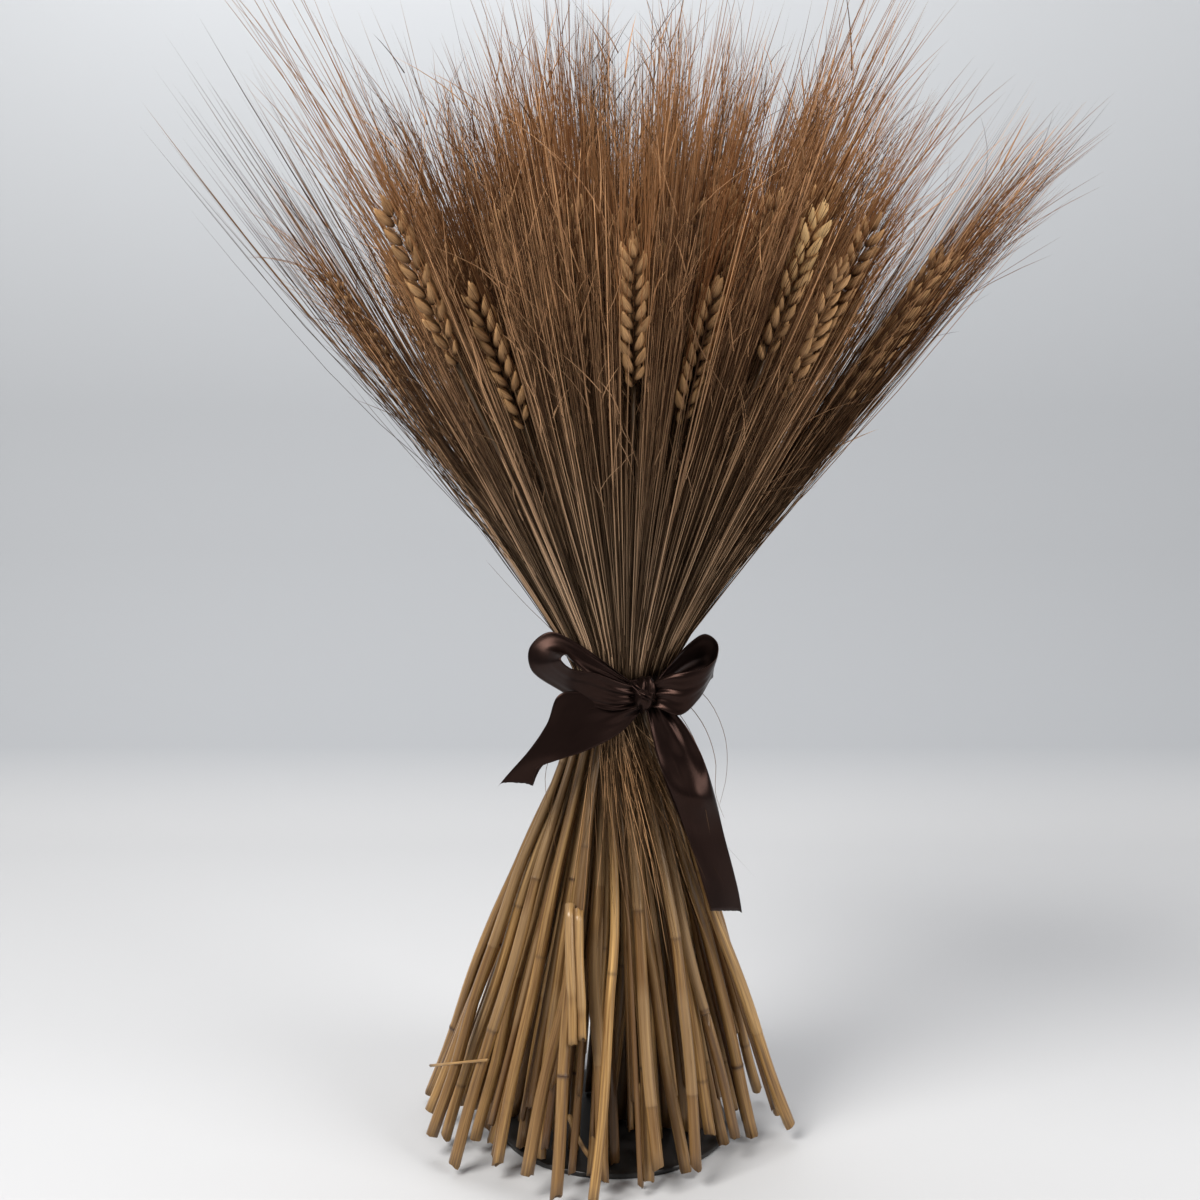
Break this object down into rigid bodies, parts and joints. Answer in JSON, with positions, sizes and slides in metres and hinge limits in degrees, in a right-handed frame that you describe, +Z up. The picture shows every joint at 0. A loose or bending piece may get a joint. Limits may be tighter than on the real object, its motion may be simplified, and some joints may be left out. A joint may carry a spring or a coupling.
{
  "type": "bundle of dried wheat",
  "caption": "Sheaf of dried bearded wheat, tied at the waist with a dark satin ribbon bow, its straws spread at the foot and standing on a thin black round plate.",
  "frame": {"origin": "middle of the plate's underside, on the surface that the bundle stands on", "axes": "+Z up along the bundle, the bow faces -Y, and +X is to the right of someone who faces the bow"},
  "size_m": [0.5224, 0.4, 0.649],
  "materials": {
    "dry_straw": "dry, slightly glossy straw",
    "brown_satin": "satin",
    "black_plate": "satin"
  },
  "bodies": {
    "root": {"base_plate": "black_plate", "ribbon": "brown_satin", "stalks_01": "dry_straw", "stalks_02": "dry_straw", "stalks_03": "dry_straw", "stalks_04": "dry_straw", "stalks_05": "dry_straw", "stalks_06": "dry_straw", "stalks_07": "dry_straw", "stalks_08": "dry_straw", "stalks_09": "dry_straw", "stalks_10": "dry_straw", "stalks_11": "dry_straw", "stalks_12": "dry_straw", "stalks_13": "dry_straw", "stalks_14": "dry_straw", "stalks_15": "dry_straw", "stalks_16": "dry_straw", "stalks_17": "dry_straw", "stalks_18": "dry_straw", "stalks_19": "dry_straw", "stalks_20": "dry_straw", "stalks_21": "dry_straw", "stalks_22": "dry_straw", "stalks_23": "dry_straw", "stalks_24": "dry_straw", "stalks_25": "dry_straw", "stalks_26": "dry_straw", "stalks_27": "dry_straw", "stalks_28": "dry_straw", "stalks_29": "dry_straw", "stalks_30": "dry_straw", "stalks_31": "dry_straw", "stalks_32": "dry_straw", "stalks_33": "dry_straw", "stalks_34": "dry_straw", "stalks_35": "dry_straw", "stalks_36": "dry_straw", "stalks_37": "dry_straw", "stalks_38": "dry_straw", "stalks_39": "dry_straw", "stalks_40": "dry_straw", "stalks_41": "dry_straw", "stalks_42": "dry_straw"}
  },
  "joints": []
}
